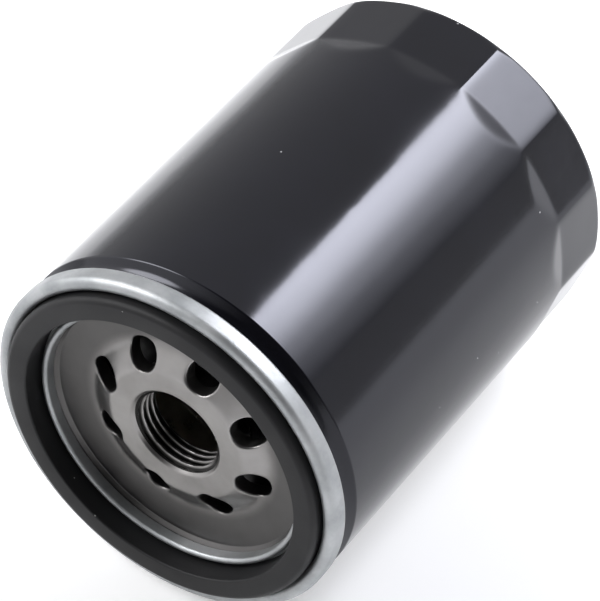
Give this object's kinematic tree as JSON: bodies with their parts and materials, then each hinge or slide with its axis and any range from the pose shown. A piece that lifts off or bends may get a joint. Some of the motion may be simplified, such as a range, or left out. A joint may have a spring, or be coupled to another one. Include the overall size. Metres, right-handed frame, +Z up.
{
  "type": "oil filter",
  "caption": "Spin-on engine oil filter: black can with wrench flats, rolled seam, rubber gasket, and a threaded base plate with oil holes.",
  "frame": {"origin": "on the surface the filter lies on, under the middle of the can", "axes": "+Y along the can's axis from the threaded end to the closed end; +Z up; +X to the right, looking at the threaded end"},
  "size_m": [0.0768, 0.1016, 0.0768],
  "materials": {
    "black_paint": "gloss black paint",
    "zinc_steel": "bright zinc plate",
    "plate_steel": "satin pressed steel",
    "gasket_rubber": "matte",
    "seam_rubber": "cured compound",
    "valve_rubber": "smooth",
    "tin_steel": "tin plate",
    "spring_steel": "drawn wire",
    "potting_resin": "cured adhesive",
    "filter_paper": "resin-treated paper"
  },
  "bodies": {
    "root": {"can": "black_paint", "seaming_lid": "zinc_steel", "seam_compound": "seam_rubber", "sealing_gasket": "gasket_rubber", "base_plate": "plate_steel", "upper_end_cap": "tin_steel", "lower_end_cap": "tin_steel", "upper_potting": "potting_resin", "lower_potting": "potting_resin", "pleated_paper": "filter_paper", "seam_clip": "tin_steel", "centre_tube": "tin_steel", "bypass_seat": "tin_steel", "bypass_cage": "tin_steel", "bypass_spring": "spring_steel", "element_spring": "spring_steel"},
    "drainback_valve": {"drainback_valve": "valve_rubber"},
    "bypass_poppet": {"bypass_disc": "tin_steel", "bypass_seal": "valve_rubber", "bypass_stem": "spring_steel"}
  },
  "joints": [
    {"name": "drainback_lift", "type": "slide", "parent": "root", "child": "drainback_valve", "axis": [0, 1, 0], "range_m": [0, 0.0015], "stiffness_N_per_m": 2000},
    {"name": "bypass_lift", "type": "slide", "parent": "root", "child": "bypass_poppet", "axis": [0, -1, 0], "range_m": [0, 0.003], "stiffness_N_per_m": 3000, "deforming": ["bypass_spring"]}
  ]
}
